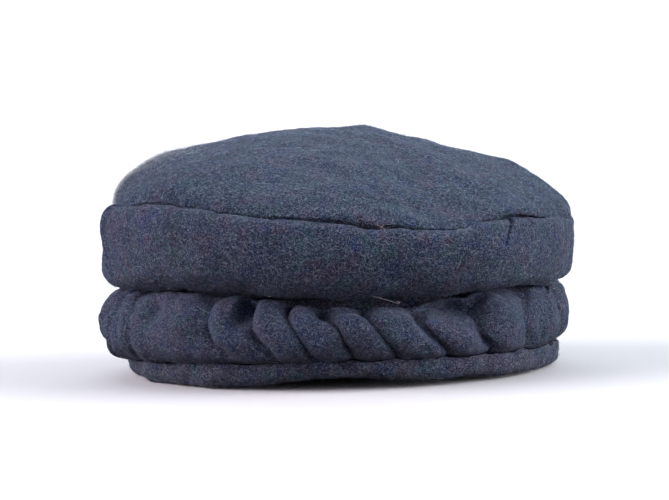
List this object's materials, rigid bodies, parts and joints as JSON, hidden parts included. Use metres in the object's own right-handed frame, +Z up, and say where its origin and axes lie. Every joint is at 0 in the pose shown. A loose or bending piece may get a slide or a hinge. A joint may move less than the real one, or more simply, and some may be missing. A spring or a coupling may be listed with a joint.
{
  "type": "pakol",
  "caption": "A round felted wool cap with a puffed crown, an upright side, a thick twisted roll and a plain band below it, standing on its band.",
  "frame": {"origin": "on the surface that the cap stands on, under the middle of its outline", "axes": "+Z up through the peak of the crown, -Y to the front, +X to the right as seen from the front"},
  "size_m": [0.2606, 0.2598, 0.1325],
  "materials": {
    "felted_wool": "matt felted wool cloth, heathered slate blue, with loose fibres on its surface"
  },
  "bodies": {
    "root": {"crown_top": "felted_wool", "crown_side": "felted_wool", "twisted_roll": "felted_wool", "head_band": "felted_wool"}
  },
  "joints": []
}
